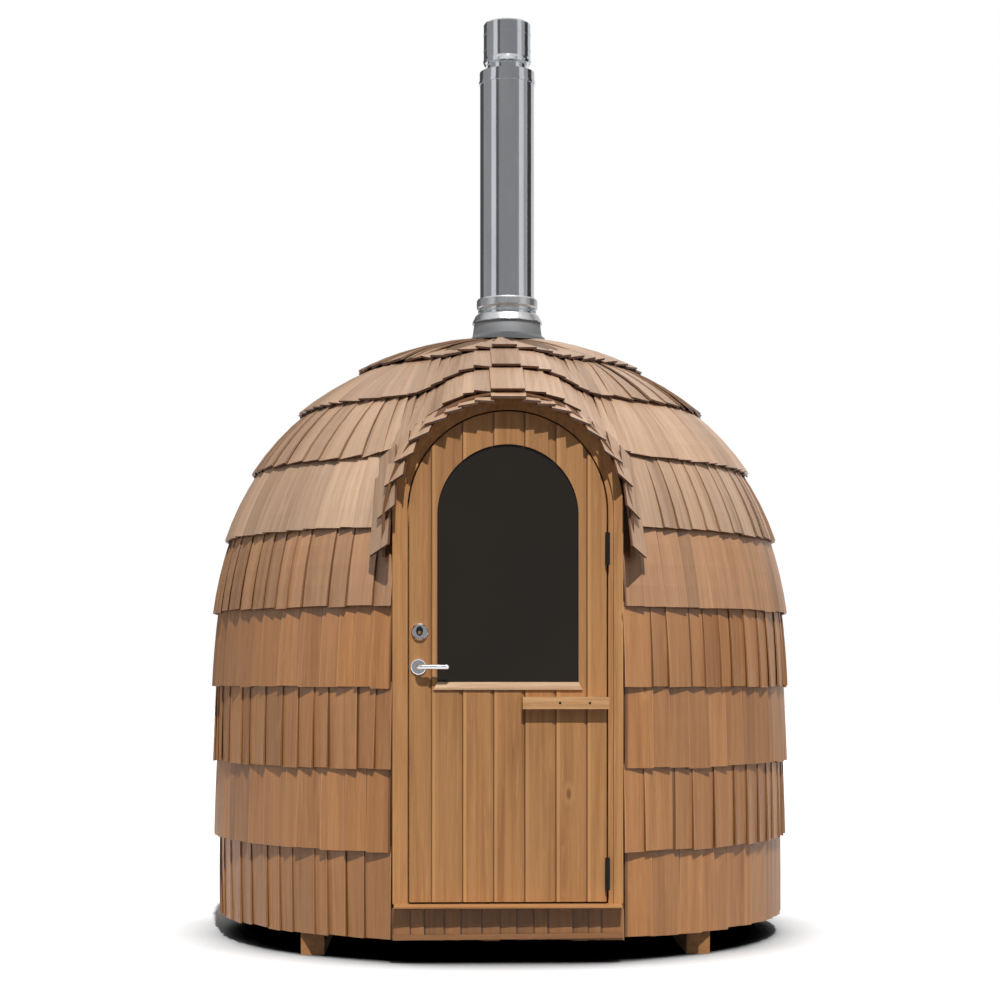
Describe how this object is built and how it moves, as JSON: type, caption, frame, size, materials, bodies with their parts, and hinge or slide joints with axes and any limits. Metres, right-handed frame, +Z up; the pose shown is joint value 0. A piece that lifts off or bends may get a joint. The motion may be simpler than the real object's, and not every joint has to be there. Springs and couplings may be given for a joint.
{
  "type": "igloo sauna",
  "caption": "Round timber sauna shaped like an igloo, clad in lapped wooden shingles, with a glazed arched door under a shingled hood and an insulated steel flue.",
  "frame": {"origin": "on the ground, at the centre of the base", "axes": "+Z up, the door faces -Y, +X to the right of someone facing the door"},
  "size_m": [2.3882, 2.3943, 3.777],
  "materials": {
    "shingles": "stained",
    "stained_wood": "stained",
    "pale_wood": "planed",
    "dark_glass": "tinted",
    "polished_steel": "polished",
    "grey_steel": "matte",
    "black_steel": "satin"
  },
  "bodies": {
    "building": {"skids": "stained_wood", "floor_joists": "stained_wood", "floor_deck": "pale_wood", "threshold_beam": "stained_wood", "front_shingles": "shingles", "door_sill": "stained_wood", "wall_front_right": "pale_wood", "wall_right": "pale_wood", "wall_back": "pale_wood", "wall_left": "pale_wood", "wall_front_left": "pale_wood", "dome_front": "pale_wood", "dome_right": "pale_wood", "dome_left": "pale_wood", "crown": "pale_wood", "course_1": "shingles", "course_2": "shingles", "course_3": "shingles", "course_4": "shingles", "course_5": "shingles", "course_6": "shingles", "course_7": "shingles", "course_8": "shingles", "course_9": "shingles", "hood_lip": "shingles", "hood_course_low": "shingles", "hood_course_mid": "shingles", "hood_course_top": "shingles", "hood_ribs": "stained_wood", "porch_lining": "pale_wood", "jamb_left": "stained_wood", "jamb_right": "stained_wood", "door_head": "stained_wood", "hinge_pins": "black_steel", "flashing": "grey_steel", "flue_collars": "polished_steel", "flue_pipe": "polished_steel", "flue_cap": "polished_steel"},
    "door": {"door_leaf": "stained_wood", "window_glass": "dark_glass", "window_bead": "pale_wood", "stop_bar": "stained_wood", "roses": "polished_steel", "hinge_knuckles": "black_steel"},
    "handle": {"lever": "polished_steel"}
  },
  "joints": [
    {"name": "door_hinge", "type": "hinge", "parent": "building", "child": "door", "pos_m": [0.3635, -1.1295, 0.227], "axis": [0, 0, 1], "range_deg": [0, 85]},
    {"name": "lever_turn", "type": "hinge", "parent": "door", "child": "handle", "pos_m": [-0.326, -1.12, 1.084], "axis": [0, 1, 0], "range_deg": [0, 45], "stiffness_Nm_per_rad": 0.8}
  ]
}
